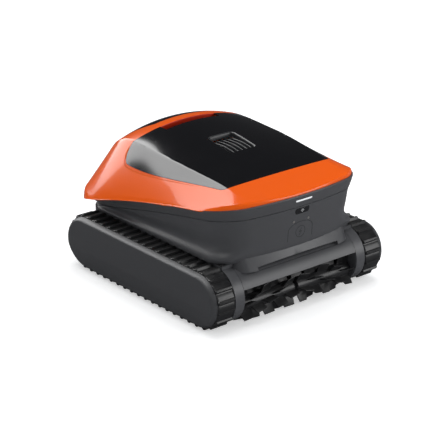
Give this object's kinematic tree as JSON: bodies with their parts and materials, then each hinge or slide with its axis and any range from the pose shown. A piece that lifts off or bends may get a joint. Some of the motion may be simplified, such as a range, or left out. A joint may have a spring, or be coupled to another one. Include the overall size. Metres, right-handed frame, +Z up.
{
  "type": "pool cleaner",
  "caption": "Tracked robotic pool cleaner: domed orange and gloss black cover on a grey waisted hull, rubber tracks each side, bladed brush roller in front, hinged lid over a filter basket.",
  "frame": {"origin": "on the floor under the middle of the two tracks, at the bottom centre of the bounding box", "axes": "+Z up, the front with the brush faces -Y, +X to the right seen from the front"},
  "size_m": [0.3968, 0.4317, 0.2689],
  "materials": {
    "orange_gloss": "gloss orange",
    "black_gloss": "high gloss black",
    "hull_grey": "fine satin grain",
    "side_cover_grey": "fine matte grain",
    "tread_rubber": "moulded rubber",
    "brush_rubber": "soft rubber",
    "wheel_plastic": "matt",
    "frame_plastic": "matt",
    "steel": "stainless",
    "gear_nylon": "natural nylon",
    "brass_gear": "machined",
    "motor_can": "turned",
    "battery_wrap": "shrink wrap",
    "board_green": "solder mask",
    "basket_grey": "matt",
    "grille_dark": "satin with a light rim",
    "lamp_white": "white diffuser",
    "contact_metal": "plated",
    "copper_coil": "wound copper",
    "seal_rubber": "soft"
  },
  "bodies": {
    "base": {"track_right": "tread_rubber", "track_left": "tread_rubber", "track_frame_right": "frame_plastic", "track_frame_left": "frame_plastic", "side_cover_right": "side_cover_grey", "side_cover_left": "side_cover_grey", "drive_motor_right": "motor_can", "drive_motor_left": "motor_can", "track_pins": "steel", "frame_screws": "steel", "idler_pins": "steel", "gear_covers": "frame_plastic", "axle_bushes": "gear_nylon", "hanger_pin": "steel", "lower_chassis": "hull_grey", "deck": "frame_plastic", "battery_pack": "battery_wrap", "control_board": "board_green", "pump_motor": "motor_can", "outlet_duct": "frame_plastic", "filter_basket": "basket_grey", "top_frame": "orange_gloss", "tail_panel": "black_gloss", "lid_hinge_pins": "steel", "grip_well": "frame_plastic", "mid_hull": "hull_grey", "light_band": "hull_grey", "led_light_pipe": "lamp_white", "button_bezel": "black_gloss", "charge_contacts": "contact_metal", "charging_coil": "copper_coil", "hull_gasket": "seal_rubber", "front_bumper": "hull_grey", "deck_screws": "steel"},
    "front_drive_right": {"front_wheel_right": "wheel_plastic", "drive_axle_right": "steel", "axle_gear_right": "gear_nylon"},
    "rear_idler_wheel_right": {"rear_wheel_right": "wheel_plastic"},
    "roller_front_right": {"road_roller_front_right": "wheel_plastic"},
    "roller_rear_right": {"road_roller_rear_right": "wheel_plastic"},
    "pinion_right": {"motor_pinion_right": "brass_gear"},
    "idler_right": {"idler_gear_right": "gear_nylon"},
    "brush_right": {"brush_core_right": "wheel_plastic", "brush_blades_right": "brush_rubber"},
    "front_drive_left": {"front_wheel_left": "wheel_plastic", "drive_axle_left": "steel", "axle_gear_left": "gear_nylon"},
    "rear_idler_wheel_left": {"rear_wheel_left": "wheel_plastic"},
    "roller_front_left": {"road_roller_front_left": "wheel_plastic"},
    "roller_rear_left": {"road_roller_rear_left": "wheel_plastic"},
    "pinion_left": {"motor_pinion_left": "brass_gear"},
    "idler_left": {"idler_gear_left": "gear_nylon"},
    "brush_left": {"brush_core_left": "wheel_plastic", "brush_blades_left": "brush_rubber"},
    "impeller_body": {"impeller": "gear_nylon"},
    "lid": {"top_lid": "black_gloss", "outlet_grille": "grille_dark"},
    "latch": {"lid_latch": "frame_plastic"},
    "flap": {"intake_flap": "brush_rubber"},
    "button": {"power_button": "frame_plastic"}
  },
  "joints": [
    {"name": "front_wheel_right_spin", "type": "hinge", "parent": "base", "child": "front_drive_right", "pos_m": [0.17, -0.1625, 0.0535], "axis": [1, 0, 0], "continuous": true, "deforming": ["track_right"]},
    {"name": "rear_wheel_right_spin", "type": "hinge", "parent": "base", "child": "rear_idler_wheel_right", "pos_m": [0.17, 0.1625, 0.0535], "axis": [1, 0, 0], "continuous": true},
    {"name": "roller_front_right_spin", "type": "hinge", "parent": "base", "child": "roller_front_right", "pos_m": [0.17, -0.055, 0.0193], "axis": [1, 0, 0], "continuous": true},
    {"name": "roller_rear_right_spin", "type": "hinge", "parent": "base", "child": "roller_rear_right", "pos_m": [0.17, 0.055, 0.0193], "axis": [1, 0, 0], "continuous": true},
    {"name": "pinion_right_spin", "type": "hinge", "parent": "base", "child": "pinion_right", "pos_m": [0.14, -0.14335, 0.06957], "axis": [1, 0, 0], "continuous": true},
    {"name": "idler_right_spin", "type": "hinge", "parent": "base", "child": "idler_right", "pos_m": [0.14, -0.18822, 0.04969], "axis": [1, 0, 0], "continuous": true},
    {"name": "brush_right_spin", "type": "hinge", "parent": "base", "child": "brush_right", "pos_m": [0.066, -0.185, 0.033], "axis": [1, 0, 0], "continuous": true},
    {"name": "front_wheel_left_spin", "type": "hinge", "parent": "base", "child": "front_drive_left", "pos_m": [-0.17, -0.1625, 0.0535], "axis": [1, 0, 0], "continuous": true, "deforming": ["track_left"]},
    {"name": "rear_wheel_left_spin", "type": "hinge", "parent": "base", "child": "rear_idler_wheel_left", "pos_m": [-0.17, 0.1625, 0.0535], "axis": [1, 0, 0], "continuous": true},
    {"name": "roller_front_left_spin", "type": "hinge", "parent": "base", "child": "roller_front_left", "pos_m": [-0.17, -0.055, 0.0193], "axis": [1, 0, 0], "continuous": true},
    {"name": "roller_rear_left_spin", "type": "hinge", "parent": "base", "child": "roller_rear_left", "pos_m": [-0.17, 0.055, 0.0193], "axis": [1, 0, 0], "continuous": true},
    {"name": "pinion_left_spin", "type": "hinge", "parent": "base", "child": "pinion_left", "pos_m": [-0.14, -0.14335, 0.06957], "axis": [1, 0, 0], "continuous": true},
    {"name": "idler_left_spin", "type": "hinge", "parent": "base", "child": "idler_left", "pos_m": [-0.14, -0.18822, 0.04969], "axis": [1, 0, 0], "continuous": true},
    {"name": "brush_left_spin", "type": "hinge", "parent": "base", "child": "brush_left", "pos_m": [-0.066, -0.185, 0.033], "axis": [1, 0, 0], "continuous": true},
    {"name": "impeller_spin", "type": "hinge", "parent": "base", "child": "impeller_body", "pos_m": [0, -0.022, 0.12], "axis": [0, 0, 1], "continuous": true},
    {"name": "lid_hinge", "type": "hinge", "parent": "base", "child": "lid", "pos_m": [0, -0.146, 0.22874], "axis": [1, 0, 0], "range_deg": [0, 75]},
    {"name": "latch_slide", "type": "slide", "parent": "lid", "child": "latch", "axis": [0, 1, 0], "range_m": [0, 0.003]},
    {"name": "intake_flap_hinge", "type": "hinge", "parent": "base", "child": "flap", "pos_m": [0, -0.1335, 0.0995], "axis": [1, 0, 0], "range_deg": [0, 70]},
    {"name": "power_button_press", "type": "slide", "parent": "base", "child": "button", "axis": [0, 1, 0], "range_m": [0, 0.0012], "stiffness_N_per_m": 400}
  ],
  "couplings": [
    {"joint": "rear_wheel_right_spin", "follows": "front_wheel_right_spin", "ratio": 1},
    {"joint": "roller_front_right_spin", "follows": "front_wheel_right_spin", "ratio": 3.875},
    {"joint": "roller_rear_right_spin", "follows": "front_wheel_right_spin", "ratio": 3.875},
    {"joint": "pinion_right_spin", "follows": "front_wheel_right_spin", "ratio": -2.5714},
    {"joint": "idler_right_spin", "follows": "front_wheel_right_spin", "ratio": -2.25},
    {"joint": "brush_right_spin", "follows": "front_wheel_right_spin", "ratio": 2},
    {"joint": "rear_wheel_left_spin", "follows": "front_wheel_left_spin", "ratio": 1},
    {"joint": "roller_front_left_spin", "follows": "front_wheel_left_spin", "ratio": 3.875},
    {"joint": "roller_rear_left_spin", "follows": "front_wheel_left_spin", "ratio": 3.875},
    {"joint": "pinion_left_spin", "follows": "front_wheel_left_spin", "ratio": -2.5714},
    {"joint": "idler_left_spin", "follows": "front_wheel_left_spin", "ratio": -2.25},
    {"joint": "brush_left_spin", "follows": "front_wheel_left_spin", "ratio": 2}
  ]
}
